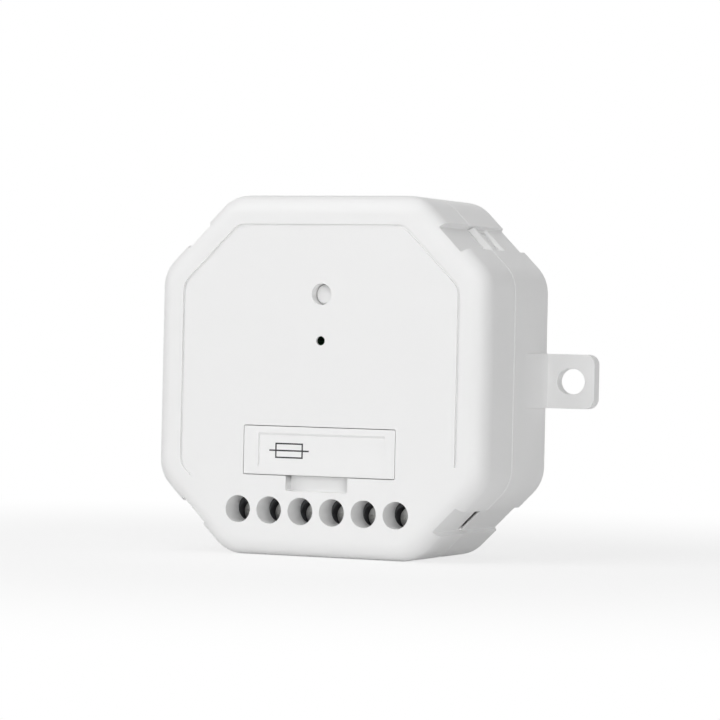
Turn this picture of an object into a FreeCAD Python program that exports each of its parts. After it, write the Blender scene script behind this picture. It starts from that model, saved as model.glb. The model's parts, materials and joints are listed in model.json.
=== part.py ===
import FreeCAD, Part

import math
import os

from FreeCAD import Vector

# A flush-mounted dimmer module that sits in a wall box behind a switch.
# X runs to the right, Y into the wall and Z up, in millimetres.
# The origin is the middle of the underside, halfway between front and back.

# The two shells
body_size = 52.3
body_depth = 24.0
corner_cut = 11.2
corner_round = 5.6
front_round = 2.8
back_bevel = 0.4
wall = 1.8
cover_depth = 10.6
seam_gap = 0.12
seam_bevel = 0.12
lip_height = 1.6
lip_wall = 0.9
slip_gap = 0.1

# The channels and snap hooks on the cut corners
channel_width = 4.9
channel_front = 0.95
channel_back = 0.55
hook_width = 3.6
hook_wall = 0.9
hook_root = 3.0
hook_start = 2.05
hook_length = 3.75
hook_slope = 0.25
arm_room = 0.5
latch_gap = 0.3
ramp_width = 4.5
ramp_rise = 0.6
ramp_run = 0.8
lower_ramp_rise = 0.4
lower_ramp_length = 0.5
pry_slot = 0.85
pry_lead = 0.95
pry_margin = 0.3
pry_skin = 0.3
pry_room = 3.0

# The thin line around the front panel
panel_margin = 4.4
panel_round = 2.4
line_width = 0.36
line_depth = 0.3
line_left_end = 11.2
line_right_end = 13.8

# The fixing lugs
lug_spacing = 61.3
lug_slot_width = 3.75
lug_slot_length = 4.3
lug_height = 7.95
lug_thickness = 2.1
lug_edge = 3.65
lug_round = 1.5
gusset_rise = 0.9
gusset_sag = 1.2

# The terminals
terminal_count = 6
terminal_pitch = 5.0
terminal_shift = 0.2
terminal_height = 6.65
driver_radius = 1.975
driver_bar_height = 6.2
screw_drop = 0.6
screw_well_radius = 2.0
screw_head_radius = 1.65
screw_head_length = 1.8
screw_radius = 1.25
drive_width = 0.55
drive_depth = 0.8
head_recess = 1.1
shoulder = 1.25
clamp_travel = 2.2
cage_width = 3.8
cage_wall = 0.5
cage_plate = 1.2
cage_floor = 0.8
cage_length = 4.2
bar_width = 2.2
bar_thickness = 0.8
bar_rise = 3.3
tail_width = 1.0
tail_reach = 1.0
wire_gap = 3.0
wire_way_width = 3.2
wire_entry_size = 3.4
block_floor = 0.5
block_gap = 0.15
block_end_wall = 0.5
play = 0.1

# The fuse and its door
fuse_shift = 0.45
fuse_height = 15.3
door_width = 23.9
door_height = 7.0
door_depth = 4.0
door_plate = 1.4
door_wall = 1.0
door_gap = 0.1
door_round = 0.2
door_panel_width = 20.0
door_panel_shift = 0.35
door_panel_top = 0.95
door_panel_foot = 0.8
door_panel_depth = 0.3
door_panel_bevel = 0.7
well_wall = 1.0
well_ledge = 0.7
well_depth = 7.6
fuse_radius = 2.6
fuse_length = 20.0
fuse_cap_length = 5.0
fuse_tube_radius = 2.3
clip_height = 6.1
clip_width = 4.0
clip_thickness = 0.4
clip_grip = 1.2
clip_leg_width = 1.2
notch_width = 9.8
notch_height = 2.2
notch_depth = 1.8
notch_wall = 1.2
notch_round = 0.3

# The button and the light, placed from the middle of the body
button_shift = 0.38
button_rise = 11.85
button_radius = 1.47
button_hole_radius = 1.55
button_recess = 1.3
button_bevel = 0.25
button_travel = 0.3
collar_depth = 3.3
collar_wall = 0.9
flange_radius = 2.1
flange_thickness = 0.7
light_rise = 5.15
light_radius = 0.67
light_well_size = 2.6
light_skin = 0.5
light_size = 1.6
light_thickness = 0.7
switch_size = 4.6
switch_thickness = 2.0
switch_floor = 0.5
plunger_radius = 0.95
plunger_reach = 0.9

# The boards
board_thickness = 1.6
rear_room = 2.95
board_gap = 0.35
post_size = 2.6
post_inset = 8.4
post_low = 9.5
control_depth = 7.2
control_thickness = 1.0
control_side = 9.4
control_top = 4.8
control_gap = 1.8
peg_size = 2.4
peg_inset = 2.4
pin_size = 0.64
lead_size = 0.6
lead_reach = 0.8
hole_gap = 0.15
header_pins = 6
header_step = 2.54
header_body = 2.5
header_inset = 2.0

# Parts on the control board
radio_width = 12.0
radio_height = 12.0
radio_thickness = 0.8
shield_margin = 1.0
shield_thickness = 1.9
shield_wall = 0.2
shield_round = 0.5
chip_size = 7.0
chip_thickness = 1.2
chip_bevel = 0.2
switch_space = 1.5

# Parts on the power board
part_gap = 0.6
side_gap = 1.2
row_gap = 1.9
choke_radius = 4.8
choke_bore = 2.0
choke_thickness = 4.6
winding_build = 0.7
winding_sweep = 300.0
film_width = 10.5
film_height = 5.0
film_depth = 6.2
film_lead_inset = 1.5
can_radius = 3.15
can_depth = 5.8
varistor_radius = 3.2
varistor_thickness = 3.4
inductor_size = 6.6
inductor_depth = 5.4
rectifier_width = 5.0
rectifier_height = 4.0
rectifier_depth = 2.4
transistor_width = 10.0
transistor_height = 9.0
transistor_depth = 4.4
transistor_gap = 1.2
tab_thickness = 1.3
tab_height = 1.6
tab_inset = 0.5
spreader_width = 22.0
spreader_height = 11.0
spreader_thickness = 1.5
coupler_width = 6.5
coupler_height = 4.6
coupler_depth = 3.4
package_bevel = 0.3

# How far a cut runs past what it cuts
overrun = 1.0

# Depths that follow from the sizes above
seam = cover_depth + seam_gap
board_back = body_depth - wall - rear_room
board_front = board_back - board_thickness
block_depth = (head_recess + screw_head_length + shoulder + clamp_travel + cage_plate
               + bar_thickness + wire_gap + cage_floor + block_floor + 4 * play)
block_front = board_front - block_depth
driver_depth = block_front - block_gap
head_front = block_front + head_recess
head_back = head_front + screw_head_length
chamber_front = head_back + play / 2 + shoulder
cage_front = chamber_front + play + clamp_travel
bar_front = cage_front + cage_plate + play
bar_back = bar_front + bar_thickness
cage_inner_back = bar_back + wire_gap
cage_back = cage_inner_back + cage_floor
wire_depth = bar_back + wire_gap / 2
fuse_depth = board_front - clip_height
plunger_front = control_depth - switch_thickness - plunger_reach
control_back = control_depth + control_thickness

# Places on the front that follow from the sizes above
middle_z = body_size / 2
screw_height = terminal_height - screw_drop
corner_reach = (body_size - corner_cut) / math.sqrt(2)
hook_face = wall + slip_gap
pry_width = channel_width - 2 * pry_margin
button_height = middle_z + button_rise
light_height = middle_z + light_rise
door_top = fuse_height + door_height / 2
door_foot = fuse_height - door_height / 2
well_top = door_top + door_gap + well_wall
block_top = door_foot - door_gap - well_wall - block_gap
block_half = (terminal_count - 1) * terminal_pitch / 2 + cage_width / 2 + play + block_end_wall
clip_bore = fuse_radius + slip_gap / 2

# The control board and what stands on it
control_half = body_size / 2 - control_side
control_low = well_top + control_gap
control_high = body_size - control_top
control_middle = (control_low + control_high) / 2
header_height = control_high - header_inset
header_half = header_pins * header_step / 2
switch_half = switch_size / 2 + switch_space
radio_x = button_shift - switch_half - radio_width / 2
chip_x = button_shift + switch_half + chip_size / 2

# The power board's parts, each set beside its neighbour
board_half = body_size / 2 - wall - board_gap
transistor_z = fuse_height + clip_bore + clip_thickness + row_gap + transistor_height / 2
second_row = transistor_z + transistor_height / 2 + tab_height + part_gap
header_left = button_shift - header_half
header_right = button_shift + header_half
choke_place = (header_left - part_gap - choke_radius, second_row + choke_radius)
can_place = (header_left + can_radius, second_row + can_radius)
coupler_place = (can_place[0] + can_radius + part_gap + coupler_width / 2, second_row + coupler_height / 2)
film_place = (header_right + part_gap + film_width / 2, second_row + film_height / 2)
rectifier_place = (header_right + part_gap + rectifier_width / 2,
                   second_row + film_height + part_gap + rectifier_height / 2)
inductor_place = (-board_half + side_gap + inductor_size / 2, transistor_z)
varistor_place = (board_half - side_gap - varistor_thickness / 2, transistor_z)


def at(x, z, depth):
    """A point given by its distance behind the front face."""
    return Vector(x, depth - body_depth / 2, z)


def block(x, z, depth):
    """A rectangular block between pairs of x, z and depth values."""
    size = (x[1] - x[0], depth[1] - depth[0], z[1] - z[0])
    return Part.makeBox(*size, at(x[0], z[0], depth[0]))


def centred(x, z, width, height, depth):
    """A rectangular block about a place on the front."""
    return block((x - width / 2, x + width / 2), (z - height / 2, z + height / 2), depth)


def rod(x, z, radius, depth):
    """A round rod that points at the wall."""
    return Part.makeCylinder(radius, depth[1] - depth[0], at(x, z, depth[0]), Vector(0, 1, 0))


def cross_rod(x, z, depth, radius):
    """A round rod that lies from left to right."""
    return Part.makeCylinder(radius, x[1] - x[0], at(x[0], z, depth), Vector(1, 0, 0))


def prism(points, sweep):
    """A flat outline of points pushed along a direction."""
    return Part.Face(Part.makePolygon(points + points[:1])).extrude(sweep)


def rounded_wire(corners, radius, depth):
    """A closed outline facing the front, with each corner an arc."""
    arcs = []
    for i, corner in enumerate(corners):
        here = at(corner[0], corner[1], depth)
        before = at(corners[i - 1][0], corners[i - 1][1], depth) - here
        after = at(corners[(i + 1) % len(corners)][0], corners[(i + 1) % len(corners)][1], depth) - here
        before.normalize()
        after.normalize()
        half = before.getAngle(after) / 2
        inward = before + after
        inward.normalize()
        reach = radius / math.tan(half)
        lift = radius / math.sin(half) - radius
        arcs.append((here + before * reach, here + inward * lift, here + after * reach))
    edges = []
    for i, arc in enumerate(arcs):
        edges.append(Part.Arc(*arc).toShape())
        edges.append(Part.LineSegment(arc[2], arcs[(i + 1) % len(arcs)][0]).toShape())
    return Part.Wire(edges)


def slab(corners, radius, depth):
    """A plate of a rounded outline between two depths."""
    face = Part.Face(rounded_wire(corners, radius, depth[0]))
    return face.extrude(Vector(0, depth[1] - depth[0], 0))


def rectangle(x, z, width, height):
    """The corners of a rectangle about a place on the front."""
    return [(x + width / 2, z - height / 2), (x + width / 2, z + height / 2),
            (x - width / 2, z + height / 2), (x - width / 2, z - height / 2)]


def body_corners(inset):
    """The square front with its four cut corners, drawn in by an inset."""
    half = body_size / 2 - inset
    straight = half - corner_cut + inset * (2 - math.sqrt(2))
    corners = []
    for quarter in range(4):
        turn = math.radians(90 * quarter)
        for across in (-straight, straight):
            x = half * math.cos(turn) - across * math.sin(turn)
            z = half * math.sin(turn) + across * math.cos(turn)
            corners.append((x, middle_z + z))
    return corners


def body_slab(inset, depth, least_round=0.6):
    """A plate of the body's outline, drawn in by an inset."""
    return slab(body_corners(inset), max(corner_round - inset, least_round), depth)


def face_edges(shape, depth):
    """The edges that lie flat at one depth."""
    y = depth - body_depth / 2
    return [e for e in shape.Edges if abs(e.BoundBox.YMin - y) < 1e-4 and abs(e.BoundBox.YMax - y) < 1e-4]


def corner_point(side, level, along, out, depth):
    """A point on a cut corner: along the cut, out from its face, and behind the front."""
    x = (side * (corner_reach + out) - level * along) / math.sqrt(2)
    z = (level * (corner_reach + out) + side * along) / math.sqrt(2)
    return at(x, middle_z + z, depth)


def corner_prism(side, level, width, profile):
    """A profile of (out, depth) points, pushed across the middle of a cut corner."""
    points = [corner_point(side, level, -width / 2, out, depth) for out, depth in profile]
    sweep = corner_point(side, level, width / 2, 0, 0) - corner_point(side, level, -width / 2, 0, 0)
    return prism(points, sweep)


def corner_block(side, level, width, out, depth):
    """A rectangular block across the middle of a cut corner."""
    profile = [(out[0], depth[0]), (out[1], depth[0]), (out[1], depth[1]), (out[0], depth[1])]
    return corner_prism(side, level, width, profile)


def terminals():
    """The x of each terminal, from left to right."""
    return [terminal_shift + (i - (terminal_count - 1) / 2) * terminal_pitch for i in range(terminal_count)]


def fuse_all(shapes):
    """One solid from pieces that overlap or touch."""
    return shapes[0].multiFuse(shapes[1:]).removeSplitter()


def cut_all(shape, tools):
    """A solid less each of the tools."""
    return shape.cut(tools)


CORNERS = [(side, level) for side in (-1, 1) for level in (-1, 1)]


def channel_floor(depth):
    """How far the channels are sunk at a depth. They rise toward the back, as the mould's draft."""
    return channel_front + (channel_back - channel_front) * depth / body_depth


def channels(depth):
    """The shallow channel down the middle of each cut corner."""
    near, far = depth
    out = 2 * front_round
    profile = [(-channel_floor(near), near), (out, near), (out, far), (-channel_floor(far), far)]
    return [corner_prism(s, l, channel_width, profile) for s, l in CORNERS]


def panel_line():
    """The fine groove round the panel, open across the terminals."""
    rings = []
    for inset in (panel_margin - line_width / 2, panel_margin + line_width / 2):
        radius = panel_round + panel_margin - inset
        rings.append(slab(body_corners(inset), radius, (-overrun, line_depth)))
    kept = [block((-body_size, 0), (line_left_end, body_size), (-overrun, line_depth)),
            block((0, body_size), (line_right_end, body_size), (-overrun, line_depth))]
    return rings[0].cut(rings[1]).common(fuse_all(kept))


def snap_hook(side, level):
    """An arm inside a cut corner, with a hook that looks out through the housing's window."""
    start = cover_depth + hook_start
    end = start + hook_length
    inside = -hook_face - hook_wall
    arm = corner_block(side, level, hook_width, (inside, -hook_face), (cover_depth - hook_root, end))
    root = corner_block(side, level, hook_width, (inside, -wall / 2),
                        (cover_depth - hook_root, cover_depth - lip_height - slip_gap))
    tip = -channel_floor(start) - slip_gap
    hook = corner_prism(side, level, hook_width,
                        [(-hook_face, start), (tip, start), (tip, end - hook_slope), (-hook_face, end)])
    return fuse_all([arm, root, hook])


def driver_bar():
    """The bar behind the front wall that carries the six screwdriver tubes."""
    width = (terminal_count - 1) * terminal_pitch + 2 * driver_radius + 2 * block_end_wall
    bar = centred(terminal_shift, terminal_height, width, driver_bar_height, (wall / 2, driver_depth))
    return bar.common(body_slab(wall / 2, (0, driver_depth)))


def fuse_well():
    """The sleeve that guides the fuse, and the ledge that the door seats on."""
    width = door_width + 2 * door_gap + 2 * well_wall
    height = door_height + 2 * door_gap + 2 * well_wall
    return centred(fuse_shift, fuse_height, width, height, (wall / 2, well_depth))


def fuse_opening():
    """The way in to the fuse: the door's seat, then the narrower well."""
    width = door_width + 2 * door_gap
    height = door_height + 2 * door_gap
    outline = rectangle(fuse_shift, fuse_height, width, height)
    seat = slab(outline, door_round + door_gap, (-overrun, door_depth + slip_gap))
    well = centred(fuse_shift, fuse_height, width - 2 * well_ledge, height - 2 * well_ledge,
                   (0, well_depth + overrun))
    return [seat, well]


def pry_notch():
    """The pocket under the door that lets a blade lift it."""
    foot = door_foot - door_gap - notch_height
    height = notch_height + overrun
    outline = rectangle(terminal_shift, foot + height / 2, notch_width, height)
    return slab(outline, notch_round, (-overrun, notch_depth))


def pry_backing():
    """The solid that the pocket is sunk into."""
    half = notch_width / 2 + well_wall
    return block((terminal_shift - half, terminal_shift + half), (terminal_height, door_foot - door_gap),
                 (wall / 2, notch_depth + notch_wall))


def peg_places():
    """Where the control board rests on the cover's pegs."""
    x = control_half - peg_inset
    return [(s * x, z) for s in (-1, 1) for z in (control_low + peg_inset, control_high - peg_inset)]


def front_cover():
    outer = body_slab(0, (0, cover_depth))
    outer = outer.makeFillet(min(front_round, corner_round - slip_gap), face_edges(outer, 0))
    inner = body_slab(wall, (wall, cover_depth + overrun))
    shell = cut_all(outer, [inner] + channels((-overrun, cover_depth + overrun)))
    collar = rod(button_shift, button_height, button_hole_radius + collar_wall, (wall / 2, collar_depth))
    pegs = [centred(x, z, peg_size, peg_size, (wall / 2, control_depth)) for x, z in peg_places()]
    hooks = [snap_hook(side, 1) for side in (-1, 1)]
    solid = fuse_all([shell, driver_bar(), fuse_well(), pry_backing(), collar] + pegs + hooks)
    tube = (-overrun, driver_depth + overrun)
    tools = [rod(x, terminal_height, driver_radius, tube) for x in terminals()]
    tools += [rod(button_shift, button_height, button_hole_radius, (-overrun, collar_depth + overrun))]
    tools += [rod(button_shift, light_height, light_radius, (-overrun, wall))]
    tools += [centred(button_shift, light_height, light_well_size, light_well_size,
                      (light_skin, wall + overrun))]
    tools += [corner_block(side, -1, pry_width, (-wall - overrun, overrun),
                           (cover_depth - pry_lead, cover_depth + overrun)) for side in (-1, 1)]
    return cut_all(solid, tools + fuse_opening() + [pry_notch(), panel_line()])


def gusset(low):
    """The swelling of the side wall that runs out into a lug."""
    inner = body_size / 2
    root = inner - wall / 2
    rim = inner + gusset_rise
    start = seam + seam_bevel
    face = body_depth - lug_thickness
    end = body_depth - lug_thickness / 2
    swell = at(inner + gusset_rise / 4, low, (start + face) / 2 + gusset_sag)
    path = [Part.Arc(at(inner, low, start), swell, at(rim, low, face)).toShape()]
    turns = [(rim, face), (rim, end), (root, end), (root, start), (inner, start)]
    points = [at(x, low, depth) for x, depth in turns]
    path += [Part.LineSegment(a, b).toShape() for a, b in zip(points, points[1:])]
    return Part.Face(Part.Wire(path)).extrude(Vector(0, 0, lug_height))


def lug(side):
    """A flat tab at the back with a slotted hole, blended into the side wall."""
    root = body_size / 2 - wall / 2
    tip = lug_spacing / 2 + lug_edge
    face = body_depth - lug_thickness
    outline = rectangle((root + tip) / 2, middle_z, tip - root, lug_height)
    tab = slab(outline, lug_round, (face, body_depth))
    straight = lug_slot_length - lug_slot_width
    span = (face - overrun, body_depth + overrun)
    ends = [rod(lug_spacing / 2 + s * straight / 2, middle_z, lug_slot_width / 2, span) for s in (-1, 1)]
    hole = fuse_all(ends + [centred(lug_spacing / 2, middle_z, straight, lug_slot_width, span)])
    shape = fuse_all([tab, gusset(middle_z - lug_height / 2)]).cut(hole)
    if side < 0:
        shape = shape.mirror(Vector(0, 0, 0), Vector(1, 0, 0))
    return shape


def latch_ramps(side):
    """The ramps before and behind the window that the hook looks out of; the first ends in a flat."""
    root = -channel_front - wall / 4
    start = seam + latch_gap
    crest = start + ramp_run
    window_start = cover_depth + hook_start - slip_gap
    window_end = cover_depth + hook_start + hook_length + slip_gap
    end = window_end + lower_ramp_length
    before = [(root, start), (-channel_floor(start), start), (ramp_rise - channel_floor(crest), crest),
              (ramp_rise - channel_floor(window_start), window_start), (root, window_start)]
    behind = [(root, window_end), (-channel_floor(window_end), window_end),
              (lower_ramp_rise - channel_floor(end), end), (root, end)]
    return [corner_prism(side, 1, ramp_width, profile) for profile in (before, behind)]


def wire_entries():
    """A square way in for each wire through the floor of the housing."""
    half = wire_entry_size / 2
    depth = (wire_depth - half, wire_depth + half)
    return [block((x - half, x + half), (-overrun, wall + overrun), depth) for x in terminals()]


def housing_lip():
    """The lip that slides into the cover, and the band that joins it to the wall."""
    lip = body_slab(wall + slip_gap, (cover_depth - lip_height, seam + lip_height))
    lip = lip.cut(body_slab(wall + slip_gap + lip_wall, (0, body_depth)))
    band = body_slab(wall / 2, (seam, seam + lip_height))
    band = band.cut(body_slab(wall + lip_wall / 2, (0, body_depth)))
    return [lip, cut_all(band, channels((0, body_depth)))]


def terminal_berth():
    """The room in the lip for the terminal block."""
    half = block_half + block_gap
    depth = (0, seam + 2 * lip_height)
    berth = block((terminal_shift - half, terminal_shift + half), (0, block_top), depth)
    return berth.common(body_slab(wall, depth))


def corner_openings():
    """Room for the hook arms, the hook windows, and the pry slots, which widen under a thin skin."""
    deep = -wall - slip_gap - lip_wall - overrun
    start = cover_depth + hook_start - slip_gap
    end = start + hook_length + 2 * slip_gap
    tools = []
    for side, level in CORNERS:
        arm = (cover_depth - lip_height - overrun, seam + lip_height + overrun)
        tools.append(corner_block(side, level, hook_width + 2 * arm_room, (deep, -wall), arm))
    for side in (-1, 1):
        tools.append(corner_block(side, 1, hook_width + 2 * slip_gap, (deep, overrun), (start, end)))
        tools.append(corner_block(side, 1, ramp_width, (deep, overrun), (seam - overrun, seam + latch_gap)))
        tools.append(corner_block(side, -1, pry_width, (deep, overrun), (seam - overrun, seam + pry_slot)))
        skin = -channel_floor(seam) - pry_skin
        tools.append(corner_block(side, -1, pry_width, (deep, skin), (seam - overrun, seam + pry_room)))
    return tools


def rear_housing():
    outer = body_slab(0, (seam, body_depth))
    outer = outer.makeChamfer(back_bevel, face_edges(outer, body_depth))
    outer = outer.makeChamfer(seam_bevel, face_edges(outer, seam))
    inner = body_slab(wall, (seam - overrun, body_depth - wall))
    shell = cut_all(outer, [inner] + channels((0, body_depth + overrun)))
    x = body_size / 2 - post_inset
    posts = [centred(s * x, z, post_size, post_size, (board_back, body_depth - wall / 2))
             for s in (-1, 1) for z in (post_low, body_size - post_low)]
    ramps = latch_ramps(-1) + latch_ramps(1)
    solid = fuse_all([shell] + housing_lip() + [lug(-1), lug(1)] + posts + ramps)
    return cut_all(solid, wire_entries() + [terminal_berth()] + corner_openings())


def fuse_door():
    """The snap-in door over the fuse, with a shallow panel in its face."""
    outline = rectangle(fuse_shift, fuse_height, door_width, door_height)
    plate = slab(outline, door_round, (0, door_depth))
    hollow = centred(fuse_shift, fuse_height, door_width - 2 * door_wall, door_height - 2 * door_wall,
                     (door_plate, door_depth + overrun))
    top = door_top - door_panel_top
    foot = door_foot + door_panel_foot
    left = fuse_shift + door_panel_shift - door_panel_width / 2
    sunk = door_panel_depth
    corners = [at(left, top + sunk, -sunk), at(left, top - sunk, sunk),
               at(left, foot + door_panel_bevel, sunk), at(left, foot - door_panel_bevel, -sunk)]
    panel = prism(corners, Vector(door_panel_width, 0, 0))
    return cut_all(plate, [hollow, panel])


def push_button():
    """The button's cap, and the flange that keeps it behind the cover."""
    back = plunger_front - play / 2
    cap = rod(button_shift, button_height, button_radius, (button_recess, back))
    cap = cap.makeChamfer(button_bevel, face_edges(cap, button_recess))
    flange = rod(button_shift, button_height, flange_radius, (back - flange_thickness, back))
    return fuse_all([cap, flange])


def switch_body():
    shell = centred(button_shift, button_height, switch_size, switch_size,
                    (control_depth - switch_thickness, control_depth))
    bore = rod(button_shift, button_height, plunger_radius + play, (0, control_depth - switch_floor))
    return shell.cut(bore)


def switch_plunger():
    back = control_depth - switch_floor - button_travel - play
    return rod(button_shift, button_height, plunger_radius, (plunger_front, back))


def status_light():
    depth = (control_depth - light_thickness, control_depth)
    return centred(button_shift, light_height, light_size, light_size / 2, depth)


def header_places():
    """Where the pins between the boards stand."""
    first = button_shift - (header_pins - 1) / 2 * header_step
    return [(first + i * header_step, header_height) for i in range(header_pins)]


def pin_holes(places, size):
    """A hole through the boards for each pin or lead."""
    room = size + 2 * hole_gap
    return [centred(x, z, room, room, (0, body_depth)) for x, z in places]


def control_board():
    depth = (control_depth, control_back)
    sheet = block((-control_half, control_half), (control_low, control_high), depth)
    sheet = sheet.common(body_slab(wall + lip_wall + slip_gap + board_gap, depth))
    return cut_all(sheet, pin_holes(header_places(), pin_size))


def radio_board():
    depth = (control_depth - radio_thickness, control_depth)
    return centred(radio_x, control_middle, radio_width, radio_height, depth)


def radio_shield():
    """The radio's metal can, open at the back."""
    back = control_depth - radio_thickness
    front = back - shield_thickness
    width = radio_width - 2 * shield_margin
    height = radio_height - 2 * shield_margin
    can = slab(rectangle(radio_x, control_middle, width, height), shield_round, (front, back))
    hollow = centred(radio_x, control_middle, width - 2 * shield_wall, height - 2 * shield_wall,
                     (front + shield_wall, back + overrun))
    return can.cut(hollow)


def controller_chip():
    """The chip on the front of the control board."""
    front = control_depth - chip_thickness
    chip = centred(chip_x, control_middle, chip_size, chip_size, (front, control_depth))
    return chip.makeChamfer(chip_bevel, face_edges(chip, front))


def board_header():
    """The strip of pins that joins the two boards."""
    strip = centred(button_shift, header_height, 2 * header_half, header_body, (control_back, board_front))
    reach = (control_depth - lead_reach, board_back + lead_reach)
    pins = [centred(x, z, pin_size, pin_size, reach) for x, z in header_places()]
    return fuse_all([strip] + pins)


def lead_pairs():
    """Where each wired part on the power board puts its two leads."""
    ring = (choke_radius - 2 * winding_build) / math.sqrt(2)
    film = film_width / 2 - film_lead_inset
    return {
        "choke": [(choke_place[0] + s * ring, choke_place[1] - ring) for s in (-1, 1)],
        "film": [(film_place[0] + s * film, film_place[1]) for s in (-1, 1)],
        "can": [(can_place[0], can_place[1] + s * can_radius / 2) for s in (-1, 1)],
        "varistor": [(varistor_place[0], varistor_place[1] + s * varistor_radius / 2) for s in (-1, 1)],
        "inductor": [(inductor_place[0], inductor_place[1] + s * inductor_size / 4) for s in (-1, 1)],
    }


def leads(name, root=lead_reach):
    """The two leads that hold a part on the power board."""
    depth = (board_front - root, board_back + lead_reach)
    return [centred(x, z, lead_size, lead_size, depth) for x, z in lead_pairs()[name]]


def clip_middles():
    """Where the fuse clips stand, under the fuse's two caps."""
    x = (fuse_length - fuse_cap_length) / 2
    return [fuse_shift - x, fuse_shift + x]


def clip_legs(x, gap):
    """The two legs of a fuse clip, or with a gap the holes for them."""
    legs = []
    for s in (-1, 1):
        z = fuse_height + s * (fuse_radius - clip_thickness)
        legs.append(centred(x, z, clip_leg_width + 2 * gap, 2 * clip_thickness + 2 * gap,
                            (fuse_depth + fuse_radius, board_back + lead_reach)))
    return legs


def bar_tail(x, gap):
    """A contact bar's solder tail, or with a gap the hole for it."""
    z = screw_height + bar_rise - tail_width / 2
    return centred(x, z, tail_width + 2 * gap, tail_width + 2 * gap, (bar_front, board_back + tail_reach))


def main_board():
    sheet = body_slab(wall + board_gap, (board_front, board_back))
    holes = pin_holes(header_places(), pin_size)
    for places in lead_pairs().values():
        holes += pin_holes(places, lead_size)
    for x in clip_middles():
        holes += clip_legs(x, hole_gap)
    holes += [bar_tail(x, hole_gap) for x in terminals()]
    return cut_all(sheet, holes)


def terminal_block():
    """The dark block with a screw well, a cage chamber and a wire way for each terminal."""
    depth = (block_front, board_front)
    shape = block((terminal_shift - block_half, terminal_shift + block_half), (wall, block_top), depth)
    shape = shape.common(body_slab(wall + block_gap, depth))
    bar_top = screw_height + bar_rise + play / 2
    bar_half = bar_width / 2 + play / 2
    way_half = wire_way_width / 2
    shank_way = 2 * (screw_radius + play)
    tools = []
    for x in terminals():
        tools.append(rod(x, screw_height, screw_well_radius, (0, head_back + play / 2)))
        tools.append(centred(x, screw_height, shank_way, shank_way, (0, chamber_front + overrun)))
        tools.append(centred(x, screw_height, cage_width + 2 * play, cage_length + 2 * play,
                             (chamber_front, cage_back + play)))
        tools.append(block((x - way_half, x + way_half), (0, screw_height), (bar_back, cage_inner_back)))
        tools.append(block((x - bar_half, x + bar_half), (screw_height, bar_top),
                           (bar_front - play / 2, bar_back + play / 2)))
        tools.append(bar_tail(x, play / 2))
    return cut_all(shape, tools)


def contact_bars():
    """The fixed bar in each terminal that the cage pulls the wire against."""
    bars = []
    for x in terminals():
        plate = block((x - bar_width / 2, x + bar_width / 2),
                      (screw_height - cage_length / 2, screw_height + bar_rise), (bar_front, bar_back))
        bars.append(fuse_all([plate, bar_tail(x, 0)]))
    return Part.makeCompound(bars)


def terminal_screw(x):
    """A clamp screw with a crossed drive, whose tip bears on the contact bar."""
    head = rod(x, screw_height, screw_head_radius, (head_front, head_back))
    shank = rod(x, screw_height, screw_radius, (head_back, bar_front - play / 2))
    depth = (head_front - overrun, head_front + drive_depth)
    cross = [centred(x, screw_height, drive_width, 2 * screw_radius, depth),
             centred(x, screw_height, 2 * screw_radius, drive_width, depth)]
    return cut_all(fuse_all([head, shank]), cross)


def clamp_cage(x):
    """The cage that climbs the screw and pulls the wire up against the bar."""
    ring = centred(x, screw_height, cage_width, cage_length, (cage_front, cage_back))
    window = centred(x, screw_height, cage_width - 2 * cage_wall, cage_length + overrun,
                     (cage_front + cage_plate, cage_inner_back))
    thread = rod(x, screw_height, screw_radius + play / 2,
                 (cage_front - overrun, cage_front + cage_plate + overrun))
    return cut_all(ring, [window, thread])


def fuse_tube():
    """The ceramic tube between the caps."""
    reach = fuse_length / 2 - fuse_cap_length
    return cross_rod((fuse_shift - reach, fuse_shift + reach), fuse_height, fuse_depth, fuse_tube_radius)


def fuse_caps():
    """The two metal caps on the ends of the fuse."""
    half = fuse_cap_length / 2
    return Part.makeCompound([cross_rod((x - half, x + half), fuse_height, fuse_depth, fuse_radius)
                              for x in clip_middles()])


def fuse_clips():
    """The two spring clips that grip the caps."""
    clips = []
    for x in clip_middles():
        span = (x - clip_width / 2, x + clip_width / 2)
        past = (span[0] - overrun, span[1] + overrun)
        ring = cross_rod(span, fuse_height, fuse_depth, clip_bore + clip_thickness)
        foot = block(span, (fuse_height - fuse_radius, fuse_height + fuse_radius),
                     (fuse_depth + fuse_radius, fuse_depth + clip_bore + clip_thickness))
        solid = fuse_all([ring, foot] + clip_legs(x, 0))
        mouth = block(past, (0, body_size), (0, fuse_depth - clip_grip))
        clips.append(cut_all(solid, [mouth, cross_rod(past, fuse_height, fuse_depth, clip_bore)]))
    return Part.makeCompound(clips)


def choke_core():
    x, z = choke_place
    depth = (board_front - winding_build - choke_thickness, board_front - winding_build)
    core = rod(x, z, choke_radius - winding_build, depth)
    return core.cut(rod(x, z, choke_bore + winding_build, (0, body_depth)))


def choke_winding():
    """The winding round the ring core, with its two ends at the foot."""
    x, z = choke_place
    near = board_front - choke_thickness - 2 * winding_build
    outline = [at(x + choke_bore, z, near), at(x + choke_radius, z, near),
               at(x + choke_radius, z, board_front), at(x + choke_bore, z, board_front)]
    face = Part.Face(Part.makePolygon(outline + outline[:1]))
    coil = face.revolve(at(x, z, near), Vector(0, 1, 0), winding_sweep)
    coil.rotate(at(x, z, near), Vector(0, 1, 0), 90 + (360 - winding_sweep) / 2)
    return fuse_all([coil.cut(choke_core())] + leads("choke", winding_build / 2))


def film_capacitor():
    box = surface_part(*film_place, film_width, film_height, film_depth)
    return fuse_all([box] + leads("film"))


def smoothing_capacitor():
    x, z = can_place
    can = rod(x, z, can_radius, (board_front - can_depth, board_front))
    return fuse_all([can] + leads("can"))


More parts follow.
